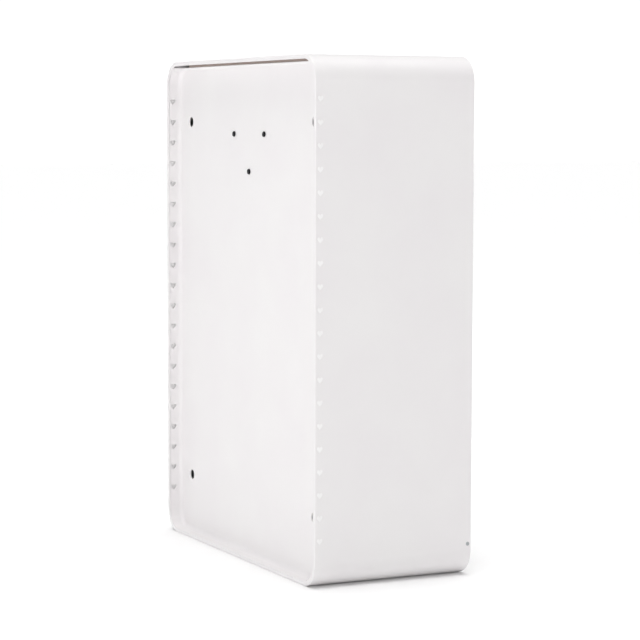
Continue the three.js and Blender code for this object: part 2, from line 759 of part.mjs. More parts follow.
function moduleLinkCable() {
  const x = END_CELL;
  return cable(
    [
      [x, -50, LOWER_LEAD],
      [x, -74, LOWER_LEAD + 1],
      [x, -87, LOWER_LEAD + 6],
      [x, CABLE_FRONT, LOWER_LEAD + 22],
      [x, CABLE_FRONT, MIDDLE - 70],
      [x, CABLE_FRONT, UPPER_LEAD - 22],
      [x, -87, UPPER_LEAD - 4],
      [x, -74, UPPER_LEAD],
      [x, -50, UPPER_LEAD],
    ],
    CABLE_RADIUS,
    24,
  );
}

function batteryPositiveCable() {
  return cable(
    [
      [-END_CELL, -50, UPPER_LEAD],
      [-END_CELL, -70, UPPER_LEAD + 2],
      [-END_CELL - 3, -80, UPPER_LEAD + 10],
      [-END_CELL - 6, -74, UPPER_LEAD + 20],
      [-190, -58, 366],
      [-190, -46, 371],
    ],
    CABLE_RADIUS,
    14,
  );
}

function batteryNegativeCable() {
  return cable(
    [
      [-END_CELL, -50, LOWER_LEAD],
      [-END_CELL, -74, LOWER_LEAD + 1],
      [-END_CELL - 2, -87, LOWER_LEAD + 6],
      [-END_CELL - 6, CABLE_FRONT, LOWER_LEAD + 22],
      [-END_CELL - 8, CABLE_FRONT, MIDDLE - 60],
      [-END_CELL + 6, CABLE_FRONT, MIDDLE - 14],
      [-END_CELL + 34, CABLE_FRONT, MIDDLE],
      [-60, CABLE_FRONT, MIDDLE + 2],
      [60, CABLE_FRONT, MIDDLE + 2],
      [150, CABLE_FRONT, MIDDLE + 3],
      [180, CABLE_FRONT, MIDDLE + 14],
      [190, -92, MIDDLE + 40],
      [190, -90, MIDDLE + 66],
      [190, -82, MIDDLE + 74],
    ],
    CABLE_RADIUS,
    44,
  );
}

// ---------------------------------------------------------------- assembly

const hearts = heartCutters();

const housing = group(
  piece("outer_sleeve", outerSleeve(hearts), whitePowderCoat),
  piece("rear_panel", rearPanel(hearts), whitePowderCoat),
  piece("front_frame", frontFrame(), zincSteel),
  piece("cover_gasket", coverGasket(), foam),
);
for (const [name, x, z] of BRACKET_SCREWS) {
  housing.add(at(piece(name, buttonHeadScrew(), blackOxideSteel), x, PANEL_REAR + GAP, z));
}
for (const [name, side] of [["cover_screw_left", -1], ["cover_screw_right", 1]]) {
  const screw = piece(name, countersunkScrew(), zincSteel);
  screw.rotation.z = side > 0 ? 0 : Math.PI;
  housing.add(at(screw, (side * WIDTH) / 2, COVER_SCREW.y, COVER_SCREW.z));
}

const cover = group(
  piece("front_cover", frontCover(), whitePowderCoat),
  piece("status_lens", statusLens(), frostedLens),
  piece("status_board", statusBoard(), greenBoard),
  piece("button_housing", buttonHousing(), blackPlastic),
  piece("power_button", powerButton(), whitePlastic),
);

const inverter = group(
  piece("inverter_bracket", inverterBracket(), zincSteel),
  piece("inverter_heatsink", inverterHeatsink(), aluminium),
  piece("inverter_board", inverterBoard(), greenBoard),
  piece("inverter_cover", inverterCover(), zincSteel),
  piece("fan_frame", fanFrame(), blackPlastic),
  at(piece("fan_rotor", fanRotor(), blackPlastic), 0, FAN.y, FAN.low + 3.5),
);

const switchgear = group(
  piece("electronics_plate", electronicsPlate(), zincSteel),
  piece("din_rail", dinRail(), zincSteel),
  at(piece("dc_breaker", breaker(), whitePlastic), -100, 0, BREAKER_Z),
  at(piece("dc_breaker_lever", breakerLever(), blackPlastic), -100, LEVER.y, BREAKER_Z),
  at(piece("ac_breaker", breaker(), whitePlastic), -50, 0, BREAKER_Z),
  at(piece("ac_breaker_lever", breakerLever(), blackPlastic), -50, LEVER.y, BREAKER_Z),
  at(piece("terminal_block", terminalBlock(), greyPlastic), 60, 0, BREAKER_Z),
  at(piece("fuse_holder", fuseHolder(), blackPlastic), -190, 0, BREAKER_Z + 5),
  at(piece("main_fuse", mainFuse(), ceramic), -190, 0, BREAKER_Z + 5),
  at(piece("contactor", contactor(), blackPlastic), 186, 0, BREAKER_Z + 8),
);

const boards = group(
  piece("bms_board", bmsBoard(), greenBoard),
  piece("comms_board", commsBoard(), greenBoard),
);

const entry = group(piece("gland_plate", glandPlate(), zincSteel));
const glandRow = (GLAND_CUT.low + GLAND_CUT.high) / 2;
for (const [name, x, bore] of GLANDS) {
  entry.add(at(piece(name, cableGland(bore), blackPlastic), x, glandRow, GLAND_LEVEL));
}
entry.add(at(piece("earth_stud", earthStud(), brass), 140, glandRow, SKIN + GAP));

const cables = group(
  piece("module_link_cable", moduleLinkCable(), blackCable),
  piece("battery_positive_cable", batteryPositiveCable(), redCable),
  piece("battery_negative_cable", batteryNegativeCable(), blackCable),
);

const wallBatteryUnit = group(
  housing,
  cover,
  batteryModule("lower"),
  batteryModule("upper"),
  inverter,
  switchgear,
  boards,
  entry,
  cables,
);

export default wallBatteryUnit;
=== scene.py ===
# %% [markdown]
# # A wall battery unit in white powder coat
#
# The real unit is a box of bent sheet steel that hangs on a wall: a sleeve wrapped round four large
# corners, a dished panel at the back, a shallow cover at the front, and the cells, inverter and switchgear
# between them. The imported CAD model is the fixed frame. Every piece here is placed from that frame's boxes.

# %% Load the frame
import json
import math

import bpy
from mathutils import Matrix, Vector


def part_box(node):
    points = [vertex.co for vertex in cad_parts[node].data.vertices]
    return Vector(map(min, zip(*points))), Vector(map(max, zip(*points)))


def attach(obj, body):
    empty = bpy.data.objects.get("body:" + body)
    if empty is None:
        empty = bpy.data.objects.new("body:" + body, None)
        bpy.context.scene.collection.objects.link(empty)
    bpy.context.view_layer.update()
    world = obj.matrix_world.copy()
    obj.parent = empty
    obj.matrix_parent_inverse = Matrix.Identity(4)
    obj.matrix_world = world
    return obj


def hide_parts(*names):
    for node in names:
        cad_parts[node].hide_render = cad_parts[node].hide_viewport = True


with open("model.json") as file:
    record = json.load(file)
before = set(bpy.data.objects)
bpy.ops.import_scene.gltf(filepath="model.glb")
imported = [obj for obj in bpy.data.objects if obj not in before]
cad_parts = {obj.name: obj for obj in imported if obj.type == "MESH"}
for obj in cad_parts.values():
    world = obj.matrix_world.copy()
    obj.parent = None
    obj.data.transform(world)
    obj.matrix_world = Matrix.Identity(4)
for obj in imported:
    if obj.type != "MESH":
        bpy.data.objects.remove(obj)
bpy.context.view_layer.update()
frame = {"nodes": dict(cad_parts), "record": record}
bpy.ops.object.select_all(action="DESELECT")

# %% [markdown]
# ## Real sizes
#
# The sleeve is 2 mm sheet and the panels are 1.5 mm. A folded edge looks right only when its bend has the
# radius that a press brake leaves, about the sheet's own thickness, so the radii are written down here once.

# %% Sizes in metres
MM = 0.001
SLEEVE_SHEET = 2 * MM
PANEL_SHEET = 1.5 * MM
CORNER_RADIUS = 34 * MM
FOLDED_EDGE = 5.5 * MM  # width of the sleeve's folded rear edge
EDGE_BEND = 1.6 * MM
DISH_BEND = 8 * MM  # bend between the rear panel and its rims
SEAM = 33 * MM  # where each vented rim meets the lower corner
COVER_BEND = 2 * MM
PAINTED_EDGE = 0.18 * MM  # a powder-coated edge is never sharp

HEART_COUNT = 20
HEART_PITCH = 30 * MM
HEART_SIZE = 8.3 * MM
HEART_INSET = 7.3 * MM  # heart centre to the rear edge
LOWEST_HEART = 62.5 * MM

WALL_HOLE_RADIUS = 7 * MM
WALL_HOLE_REACH = 205 * MM  # to each side of the middle
WALL_HOLE_HEIGHTS = (86.25 * MM, 603.75 * MM)
WALL_HOLES = [(side * WALL_HOLE_REACH, z) for side in (-1, 1) for z in WALL_HOLE_HEIGHTS]

sleeve_low, sleeve_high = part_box("outer_sleeve")
print("sleeve:", [round((b - a) / MM, 1) for a, b in zip(sleeve_low, sleeve_high)], "mm")

# %% [markdown]
# ## Camera
#
# A long lens some 3 m away, a little above the middle of the cabinet, looking at its back and one side.
# The place and the direction are given in cabinet heights, so the view follows the frame's size.

# %% Camera
HEIGHT = sleeve_high.z - sleeve_low.z
CAMERA_PLACE = Vector((-4.0996, 1.9841, 0.8674)) * HEIGHT
LOOK = Vector((0.8951, -0.4374, -0.0860)).normalized()
ROLL = math.radians(-0.145)
LENS_MM = 126.5

bpy.ops.object.camera_add(location=CAMERA_PLACE)
camera = bpy.context.object
camera.name = "view_camera"
camera.rotation_mode = "QUATERNION"
camera.rotation_quaternion = LOOK.to_track_quat("-Z", "Y")
camera.rotation_mode = "XYZ"
camera.rotation_euler.rotate_axis("Z", -ROLL)
camera.data.lens = LENS_MM
camera.data.clip_end = 100
bpy.context.scene.camera = camera
print("camera:", [round(v, 3) for v in camera.location])

# %% [markdown]
# ## Working by hand, in code
#
# Operators act on whatever is selected, so each helper first clears the selection. `pick` chooses faces or
# edges by where they are and which way they face, as a hand would with the mouse.

# %% Selecting and shaping
ALONG = 0.9  # a direction with more than this much of an axis runs along it
ACROSS = 0.1  # and with less than this runs across it
TOUCH = 0.001 * MM  # points nearer to a face than this lie on it


def only(piece):
    """Selects one piece and nothing else."""
    bpy.ops.object.select_all(action="DESELECT")
    piece.select_set(True)
    bpy.context.view_layer.objects.active = piece


def settle(piece):
    """Puts a piece's place, turn and scale into its mesh."""
    only(piece)
    bpy.ops.object.transform_apply(location=True, rotation=True, scale=True)
    return piece


def block(name, low, high):
    """A box between two corners."""
    low, high = Vector(low), Vector(high)
    bpy.ops.mesh.primitive_cube_add(size=1, location=(low + high) / 2, scale=high - low)
    bpy.context.object.name = name
    return settle(bpy.context.object)


def bar(name, centre, radius, length, axis, sides=48):
    """A round bar along X, Y or Z, centred at a point."""
    turn = {"X": (0, math.pi / 2, 0), "Y": (math.pi / 2, 0, 0), "Z": (0, 0, 0)}[axis]
    bpy.ops.mesh.primitive_cylinder_add(
        vertices=sides, radius=radius, depth=length, location=centre, rotation=turn
    )
    bpy.context.object.name = name
    return settle(bpy.context.object)


def pick(piece, kind, rule):
    """Enters edit mode with the faces or edges selected whose middle and direction pass the rule."""
    only(piece)
    bpy.ops.object.mode_set(mode="EDIT")
    bpy.ops.mesh.select_mode(type=kind)
    bpy.ops.mesh.select_all(action="DESELECT")
    bpy.ops.object.mode_set(mode="OBJECT")
    points = piece.data.vertices
    if kind == "FACE":
        for face in piece.data.polygons:
            face.select = rule(face.center, face.normal)
    else:
        for edge in piece.data.edges:
            a, b = (points[i].co for i in edge.vertices)
            edge.select = rule((a + b) / 2, (b - a).normalized())
    bpy.ops.object.mode_set(mode="EDIT")


def done(piece):
    """Leaves edit mode."""
    bpy.ops.object.mode_set(mode="OBJECT")
    return piece


def modify(piece, kind, **settings):
    """Adds a modifier with its settings and applies it."""
    only(piece)
    made = piece.modifiers.new(kind.lower(), kind)
    for key, value in settings.items():
        setattr(made, key, value)
    bpy.ops.object.modifier_apply(modifier=made.name)
    return piece


def cut(piece, *tools):
    """Cuts tools out of a piece. The tools stay for the next piece."""
    for tool in tools:
        modify(piece, "BOOLEAN", operation="DIFFERENCE", object=tool, solver="EXACT")
    return piece


def join(piece, *others):
    """Makes one object of several."""
    bpy.ops.object.select_all(action="DESELECT")
    for other in others:
        other.select_set(True)
    piece.select_set(True)
    bpy.context.view_layer.objects.active = piece
    bpy.ops.object.join()
    return piece


def soften(piece, width=PAINTED_EDGE, sharp=35):
    """Rounds the edges that are sharper than an angle, and shades the rest smooth."""
    modify(
        piece, "BEVEL", width=width, segments=2, limit_method="ANGLE",
        angle_limit=math.radians(sharp), use_clamp_overlap=True,
    )
    only(piece)
    bpy.ops.object.shade_smooth_by_angle(angle=math.radians(sharp))
    return modify(piece, "WEIGHTED_NORMAL", mode="FACE_AREA", weight=100, keep_sharp=True)


def bin_tools(*tools):
    """Throws cutters away once they have cut."""
    for tool in tools:
        bpy.data.objects.remove(tool, do_unlink=True)


print("helpers ready")

# %% [markdown]
# ## Heart cutters
#
# The vents are punched through both skins next to the wall. One heart is a circle whose points are moved by
# a well-known formula. It is pushed out into a punch, an array gives twenty of them, and a mirror gives the
# other side's.

# %% Heart punches
PUNCH_START = 10 * MM  # how far inside the sleeve's face a punch begins
PUNCH_LENGTH = 12 * MM


def heart_punches():
    bpy.ops.mesh.primitive_circle_add(vertices=40, fill_type="NGON", radius=1)
    punch = bpy.context.object
    count = len(punch.data.vertices)
    for index, point in enumerate(punch.data.vertices):
        t = 2 * math.pi * index / count
        side = 16 * math.sin(t) ** 3
        up = 13 * math.cos(t) - 5 * math.cos(2 * t) - 2 * math.cos(3 * t) - math.cos(4 * t)
        point.co = (0, side / 32 * HEART_SIZE, (up + 2.5) / 29 * HEART_SIZE)
    punch.location = (sleeve_high.x - PUNCH_START, sleeve_high.y - HEART_INSET, LOWEST_HEART)
    settle(punch)
    pick(punch, "FACE", lambda c, n: True)
    bpy.ops.mesh.extrude_region_move(TRANSFORM_OT_translate={"value": (PUNCH_LENGTH, 0, 0)})
    bpy.ops.mesh.select_all(action="SELECT")
    bpy.ops.mesh.normals_make_consistent(inside=False)
    done(punch)
    modify(
        punch, "ARRAY", count=HEART_COUNT, use_relative_offset=False,
        use_constant_offset=True, constant_offset_displace=(0, 0, HEART_PITCH),
    )
    modify(punch, "MIRROR", use_axis=(True, False, False))
    pick(punch, "FACE", lambda c, n: True)
    bpy.ops.mesh.normals_make_consistent(inside=False)
    done(punch)
    punch.name = "heart_punches"
    return punch


punches = heart_punches()
print("heart punches:", len(punches.data.polygons), "faces")

# %% [markdown]
# ## Outer sleeve
#
# On the real unit one strip of sheet is rolled round four corners, welded, and folded in at the wall side.
# It could be a curve with thickness, but starting from a block and working as a sheet keeps every radius
# true: round the long edges, open both ends, fold the rear edge in, and give the skin its 2 mm.

# %% Outer sleeve
def outer_sleeve():
    sleeve = block("sleeve_skin", sleeve_low, sleeve_high)
    pick(sleeve, "EDGE", lambda c, d: abs(d.y) > ALONG)
    bpy.ops.mesh.bevel(offset=CORNER_RADIUS, segments=28, profile=0.5, affect="EDGES", clamp_overlap=False)
    done(sleeve)
    pick(sleeve, "FACE", lambda c, n: n.y < -ALONG)
    bpy.ops.mesh.delete(type="FACE")
    done(sleeve)
    pick(sleeve, "FACE", lambda c, n: n.y > ALONG)
    bpy.ops.mesh.inset(thickness=FOLDED_EDGE, depth=0)
    bpy.ops.mesh.delete(type="FACE")
    done(sleeve)
    outline = FOLDED_EDGE * 0.5
    pick(
        sleeve, "EDGE",
        lambda c, d: c.y > sleeve_high.y - TOUCH and abs(d.y) < ACROSS and on_outline(c, outline),
    )
    bpy.ops.mesh.bevel(offset=EDGE_BEND, segments=5, profile=0.5, affect="EDGES", clamp_overlap=False)
    done(sleeve)
    modify(sleeve, "SOLIDIFY", thickness=SLEEVE_SHEET, offset=-1, use_even_offset=True)
    return sleeve


def on_outline(place, margin):
    """Whether a point is within a margin of the sleeve's outline, seen from the back."""
    half = sleeve_high.x - CORNER_RADIUS
    x = max(abs(place.x) - half, 0)
    middle = (sleeve_low.z + sleeve_high.z) / 2
    z = max(abs(place.z - middle) - (HEIGHT / 2 - CORNER_RADIUS), 0)
    if x > 0 and z > 0:
        return math.hypot(x, z) > CORNER_RADIUS - margin
    return x > CORNER_RADIUS - margin or z > CORNER_RADIUS - margin


sleeve = outer_sleeve()
print("sleeve:", len(sleeve.data.polygons), "faces")

# %% [markdown]
# The sleeve is punched for air, drilled for the cover's two screws and cut out below for cables. The
# cutters come from the frame: the gland plate's box gives the cut-out, and the screws' boxes the holes.

# %% Holes in the sleeve
SINK_DEPTH = 1.9 * MM  # nearly through the skin
SINK_START = 0.05 * MM  # the cutter begins this far outside the face
HEAD_CLEARANCE = 0.15 * MM
SCREW_HOLE_RADIUS = 1.8 * MM
GLAND_OVERLAP = 9 * MM  # how far the gland plate laps over the edge of its cut-out


def screw_sink(node):
    """A countersink and hole for a screw in one side of the sleeve."""
    low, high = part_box(node)
    side = 1 if (low.x + high.x) > 0 else -1
    face = side * sleeve_high.x
    centre = (low + high) / 2
    head = (high.z - low.z) / 2
    bpy.ops.mesh.primitive_cone_add(
        vertices=32, radius1=head - SINK_DEPTH, radius2=head + HEAD_CLEARANCE, depth=SINK_DEPTH,
        location=(face - side * (SINK_DEPTH / 2 - SINK_START), centre.y, centre.z),
        rotation=(0, side * math.pi / 2, 0),
    )
    cone = settle(bpy.context.object)
    hole = bar("hole", (face, centre.y, centre.z), SCREW_HOLE_RADIUS, 12 * MM, "X", 24)
    return [cone, hole]


def base_cut_out():
    """The opening below, with round corners, a little smaller than the gland plate."""
    low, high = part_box("gland_plate")
    start = (low.x + GLAND_OVERLAP, low.y + GLAND_OVERLAP, -10 * MM)
    end = (high.x - GLAND_OVERLAP, high.y - GLAND_OVERLAP, 8 * MM)
    tool = block("cut_out", start, end)
    pick(tool, "EDGE", lambda c, d: abs(d.z) > ALONG)
    bpy.ops.mesh.bevel(offset=8 * MM, segments=6, affect="EDGES")
    return done(tool)


sleeve_tools = [*screw_sink("cover_screw_left"), *screw_sink("cover_screw_right"), base_cut_out()]
cut(sleeve, punches, *sleeve_tools)
bin_tools(*sleeve_tools)
soften(sleeve)
print("sleeve after punching:", len(sleeve.data.polygons), "faces")

# %% [markdown]
# ## Rear panel
#
# The back is a dish, like a baking tray with its rims towards the wall. Its bend is wide and soft, and
# catches a bright band of light. The top is open: the tray is cut off just below the sleeve's folded edge,
# and warm air leaves through that slot. A fine seam shows where each vented rim meets the lower corner.

# %% Rear panel
SEAM_REACH = (243 * MM, 244.85 * MM)  # from the open side of the rim into the face of its sheet
SEAM_HALF_WIDTH = 0.2 * MM
M4_CLEARANCE_RADIUS = 2.3 * MM
DRILL_LENGTH = 10 * MM
PAST_THE_REAR = 120 * MM  # a cutter that ends here comes out behind the cabinet


def rear_panel():
    low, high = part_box("rear_panel")
    virtual_top = sleeve_high.z - (low.z - sleeve_low.z)
    panel = block("rear_dish", low, (high.x, high.y, virtual_top))
    pick(panel, "EDGE", lambda c, d: abs(d.y) > ALONG)
    radius = CORNER_RADIUS - (low.z - sleeve_low.z)
    bpy.ops.mesh.bevel(offset=radius, segments=24, affect="EDGES", clamp_overlap=False)
    done(panel)
    pick(panel, "FACE", lambda c, n: n.y > ALONG)
    bpy.ops.mesh.delete(type="FACE")
    done(panel)
    pick(panel, "EDGE", lambda c, d: c.y < low.y + TOUCH and abs(d.y) < ACROSS)
    bpy.ops.mesh.bevel(offset=DISH_BEND, segments=10, affect="EDGES", clamp_overlap=False)
    done(panel)
    pick(panel, "FACE", lambda c, n: True)
    bpy.ops.mesh.bisect(plane_co=(0, 0, high.z), plane_no=(0, 0, 1), clear_outer=True)
    done(panel)
    modify(panel, "SOLIDIFY", thickness=PANEL_SHEET, offset=-1, use_even_offset=True)
    return panel


panel_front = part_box("rear_panel")[0].y
panel = rear_panel()
drills = [bar("drill", (x, panel_front, z), WALL_HOLE_RADIUS, DRILL_LENGTH, "Y", 64) for x, z in WALL_HOLES]
SCREWS = ["rear_screw_left", "rear_screw_right", "rear_screw_lower"]
for name in SCREWS:
    low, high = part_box(name)
    centre = (low + high) / 2
    drills.append(bar("drill", (centre.x, panel_front, centre.z), M4_CLEARANCE_RADIUS, DRILL_LENGTH, "Y", 24))
for side in (-1, 1):
    left, right = sorted(side * x for x in SEAM_REACH)
    start = (left, panel_front + 9 * MM, SEAM - SEAM_HALF_WIDTH)
    drills.append(block("seam", start, (right, PAST_THE_REAR, SEAM + SEAM_HALF_WIDTH)))
cut(panel, punches, *drills)
bin_tools(*drills)
soften(panel)
print("rear panel:", len(panel.data.polygons), "faces")

# %% [markdown]
# ## Screws
#
# The three screws in the back are M4 button heads in black oxide: a low dome with a hexagon socket. The
# dome is a cylinder whose top edge has a wide bevel, and the socket is cut with a six-sided bar. One is
# modelled, and each copy gets its own mesh.

# %% Button-head screws
M4_RADIUS = 2 * MM
BUTTON_HEAD_HEIGHT = 2.2 * MM
BUTTON_DOME = 1.75 * MM  # how far in the dome's curve begins
BUTTON_SOCKET_RADIUS = 1.45 * MM
SEAT_OVERLAP = 0.2 * MM  # the shank runs this far up into the head


def button_head(name, low, high):
    head_radius = (high.x - low.x) / 2
    centre = (low + high) / 2
    seat = high.y - BUTTON_HEAD_HEIGHT
    head_middle = (centre.x, seat + BUTTON_HEAD_HEIGHT / 2, centre.z)
    head = bar(name, head_middle, head_radius, BUTTON_HEAD_HEIGHT, "Y")
    pick(head, "EDGE", lambda c, d: c.y > high.y - TOUCH and abs(d.y) < ACROSS)
    bpy.ops.mesh.bevel(offset=BUTTON_DOME, segments=7, profile=0.62, affect="EDGES", clamp_overlap=False)
    done(head)
    socket = bar("socket", (centre.x, high.y, centre.z), BUTTON_SOCKET_RADIUS, 2.6 * MM, "Y", 6)
    cut(head, socket)
    bin_tools(socket)
    shank_length = seat - low.y + SEAT_OVERLAP
    shank = bar("shank", (centre.x, low.y + shank_length / 2, centre.z), M4_RADIUS, shank_length, "Y", 24)
    return soften(join(head, shank), width=0.12 * MM, sharp=40)


first_low, first_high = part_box(SCREWS[0])
button_screws = {SCREWS[0]: button_head("button_head_left", first_low, first_high)}
for name in SCREWS[1:]:
    copy = button_screws[SCREWS[0]].copy()
    copy.data = copy.data.copy()
    copy.name = name.replace("rear_screw", "button_head")
    bpy.context.scene.collection.objects.link(copy)
    copy.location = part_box(name)[0] - first_low
    button_screws[name] = settle(copy)
print("button heads:", sorted(p.name for p in button_screws.values()))

# %% [markdown]
# The cover is held by one small countersunk screw on each side, zinc plated and flush with the paint. It is
# a cone and a shank with a hexagon socket.

# %% Countersunk screws
M3_RADIUS = 1.5 * MM
COUNTERSUNK_DEPTH = 1.65 * MM
COUNTERSUNK_SOCKET_RADIUS = 1.1 * MM


def countersunk(name, node):
    low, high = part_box(node)
    centre = (low + high) / 2
    side = 1 if centre.x > 0 else -1
    face = side * sleeve_high.x
    radius = (high.z - low.z) / 2
    bpy.ops.mesh.primitive_cone_add(
        vertices=48, radius1=M3_RADIUS, radius2=radius, depth=COUNTERSUNK_DEPTH,
        location=(face - side * COUNTERSUNK_DEPTH / 2, centre.y, centre.z),
        rotation=(0, side * math.pi / 2, 0),
    )
    head = settle(bpy.context.object)
    head.name = name
    socket = bar("socket", (face, centre.y, centre.z), COUNTERSUNK_SOCKET_RADIUS, 2 * MM, "X", 6)
    cut(head, socket)
    bin_tools(socket)
    length = high.x - low.x - COUNTERSUNK_DEPTH
    middle = face - side * (COUNTERSUNK_DEPTH + length / 2 - 0.1 * MM)
    shank = bar("shank", (middle, centre.y, centre.z), M3_RADIUS, length, "X", 24)
    return soften(join(head, shank), width=0.1 * MM, sharp=40)


cover_screws = {
    "cover_screw_left": countersunk("countersunk_left", "cover_screw_left"),
    "cover_screw_right": countersunk("countersunk_right", "cover_screw_right"),
}
print("countersunk screws:", len(cover_screws))

# %% [markdown]
# ## Front cover
#
# The cover is a shallow pressed tray that slips inside the sleeve. It is made as the rear panel is, with a
# tighter bend, then slotted for its two screws and cut for the status light and the button. Two tongues on
# its inside steady the top.

# %% Front cover
COVER_DEPTH = 11.9 * MM  # from the face to the rear of the rim
SLOT_RADIUS = 2.1 * MM
BUTTON_HOLE_RADIUS = 8 * MM
WINDOW_HALF_LENGTH, WINDOW_HALF_HEIGHT = 60 * MM, 4 * MM
TONGUE_REACH = (120 * MM, 160 * MM)
TONGUE_BOTTOM = 670 * MM


def front_cover():
    low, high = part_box("front_cover")
    rim_rear = low.y + COVER_DEPTH
    cover = block("cover_tray", low, (high.x, rim_rear, high.z))
    radius = CORNER_RADIUS - (sleeve_high.x - high.x)
    pick(cover, "EDGE", lambda c, d: abs(d.y) > ALONG)
    bpy.ops.mesh.bevel(offset=radius, segments=28, affect="EDGES", clamp_overlap=False)
    done(cover)
    pick(cover, "FACE", lambda c, n: n.y > ALONG)
    bpy.ops.mesh.delete(type="FACE")
    done(cover)
    pick(cover, "EDGE", lambda c, d: c.y < low.y + TOUCH and abs(d.y) < ACROSS)
    bpy.ops.mesh.bevel(offset=COVER_BEND, segments=6, affect="EDGES", clamp_overlap=False)
    done(cover)
    modify(cover, "SOLIDIFY", thickness=PANEL_SHEET, offset=-1, use_even_offset=True)
    tools = []
    for node in cover_screws:
        screw_low, screw_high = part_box(node)
        centre = (screw_low + screw_high) / 2
        side = 1 if centre.x > 0 else -1
        x = side * high.x
        tools.append(bar("round_end", (x, centre.y, centre.z), SLOT_RADIUS, 8 * MM, "X", 32))
        slot_start = (x - 4 * MM, centre.y, centre.z - SLOT_RADIUS)
        tools.append(block("slot", slot_start, (x + 4 * MM, 0, centre.z + SLOT_RADIUS)))
    tools.append(light_window(low.y))
    button_low, button_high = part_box("power_button")
    button_z = (button_low.z + button_high.z) / 2
    tools.append(bar("button_hole", (0, low.y, button_z), BUTTON_HOLE_RADIUS, 8 * MM, "Y", 64))
    cut(cover, *tools)
    bin_tools(*tools)
    return cover


def light_window(face):
    """A slot with round ends, 120 x 8 mm, at the height of the lens."""
    lens_low, lens_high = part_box("status_lens")
    z = (lens_low.z + lens_high.z) / 2
    start = (-WINDOW_HALF_LENGTH, face - 4 * MM, z - WINDOW_HALF_HEIGHT)
    window = block("window", start, (WINDOW_HALF_LENGTH, face + 4 * MM, z + WINDOW_HALF_HEIGHT))
    pick(window, "EDGE", lambda c, d: abs(d.y) > ALONG)
    bpy.ops.mesh.bevel(offset=3.95 * MM, segments=10, affect="EDGES")
    return done(window)


def cover_tongues():
    """The two steadying tongues behind the top of the cover."""
    low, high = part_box("front_cover")
    made = []
    for side in (-1, 1):
        left, right = sorted(side * x for x in TONGUE_REACH)
        start = (left, low.y + PANEL_SHEET, TONGUE_BOTTOM)
        tongue = block("tongue", start, (right, high.y, TONGUE_BOTTOM + PANEL_SHEET))
        pick(tongue, "EDGE", lambda c, d: abs(d.z) > ALONG and c.y > high.y - TOUCH)
        bpy.ops.mesh.bevel(offset=6 * MM, segments=6, affect="EDGES")
        made.append(done(tongue))
    return made


cover = join(front_cover(), *cover_tongues())
soften(cover, width=0.3 * MM)
print("front cover:", len(cover.data.polygons), "faces")

# %% [markdown]
# ## Pieces carried over from the CAD frame
#
# The inner pieces already have their true shape. Real moulded, cast and folded parts have small round edges
# though, so each one is copied, its loose triangles are merged and joined into flat faces, and its edges are
# rounded by the radius its process leaves. The CAD node itself is left alone and hidden.

# %% Edge radii by piece
BODY_OF = {n: body for body, nodes in frame["record"]["behaviour"]["bodies"].items() for n in nodes}
SLOT_OF = {entry["node"]: entry["material_slot"] for entry in frame["record"]["subparts"]}
REMADE = {"outer_sleeve", "rear_panel", "front_cover", *button_screws, *cover_screws}
FOLDED, MOULDED, CAST, FINE = 0.25 * MM, 0.6 * MM, 0.4 * MM, 0.15 * MM
EDGE_RADIUS = {
    "zinc_steel": FOLDED,
    "circuit_board": FINE,
    "bare_aluminium": FOLDED,
    "cell_wrap": CAST,
    "brass": FINE,
    "black_cable": 0,
    "red_cable": 0,
    "gasket_foam": CAST,
    "frosted_lens": CAST,
}


def carry_over(node):
    """A copy of a CAD node with merged points, flat faces and rounded edges."""
    piece = frame["nodes"][node].copy()
    piece.data = piece.data.copy()
    piece.parent = None
    for key in list(piece.keys()):
        del piece[key]
    piece.name = f"{node}_finished"
    bpy.context.scene.collection.objects.link(piece)
    pick(piece, "FACE", lambda c, n: True)
    bpy.ops.mesh.remove_doubles(threshold=0.01 * MM)
    bpy.ops.mesh.dissolve_limited(angle_limit=math.radians(0.5))
    done(piece)
    radius = EDGE_RADIUS.get(SLOT_OF[node], MOULDED)
    only(piece)
    if radius:
        soften(piece, width=radius, sharp=40)
    else:
        bpy.ops.object.shade_smooth()
    return piece


carried = {node: carry_over(node) for node in sorted(frame["nodes"]) if node not in REMADE}
print("carried over:", len(carried), "pieces,", sum(len(p.data.polygons) for p in carried.values()), "faces")

# %% [markdown]
# ## Cables
#
# The CAD keeps the three power cables coarse. Real 25 mm² cable is round and bends in one sweep, so its
# copy is smoothed by subdivision.

# %% Round cables
CABLES = [node for node in carried if SLOT_OF[node] in ("black_cable", "red_cable")]
for node in CABLES:
    modify(carried[node], "SUBSURF", levels=2, render_levels=2)
    only(carried[node])
    bpy.ops.object.shade_smooth()
print("cables:", CABLES)

# %% [markdown]
# ## Insect mesh
#
# Open vents would let wasps and dust in. A strip of fine white woven mesh lies in the gap between the rim and
# the sleeve behind each row of hearts, and is pressed up into every heart of the skin as a disc. A dark
# bronze strip stands in the slot over the rear panel; its dark tone is painted shade for the slot. A picture
# on a flat sheet could stand for the weave, but the discs have to follow the heart's outline, so they are cut
# with the same punches.

# %% Insect mesh
MESH = 0.4 * MM  # thickness
MESH_MIDDLE = 247.6 * MM  # between the rim and the skin
MESH_BACK = 2.4 * MM  # from the rear edge to the strip
MESH_FRONT = 12.5 * MM
MESH_BEYOND = 12 * MM  # how far a strip runs past the last heart
DISC_INSET = 0.5 * MM  # how far a disc lies under the face of the skin
CORNER_ALLOWANCE = 31 * MM  # the slot's strip ends before the round corners
MESH_GAP = 0.1 * MM


def heart_mesh(name, side):
    """The strip behind one row of hearts."""
    middle = side * MESH_MIDDLE
    start = (middle - MESH / 2, sleeve_high.y - MESH_FRONT, LOWEST_HEART - MESH_BEYOND)
    top = LOWEST_HEART + (HEART_COUNT - 1) * HEART_PITCH + MESH_BEYOND
    return block(name, start, (middle + MESH / 2, sleeve_high.y - MESH_BACK, top))


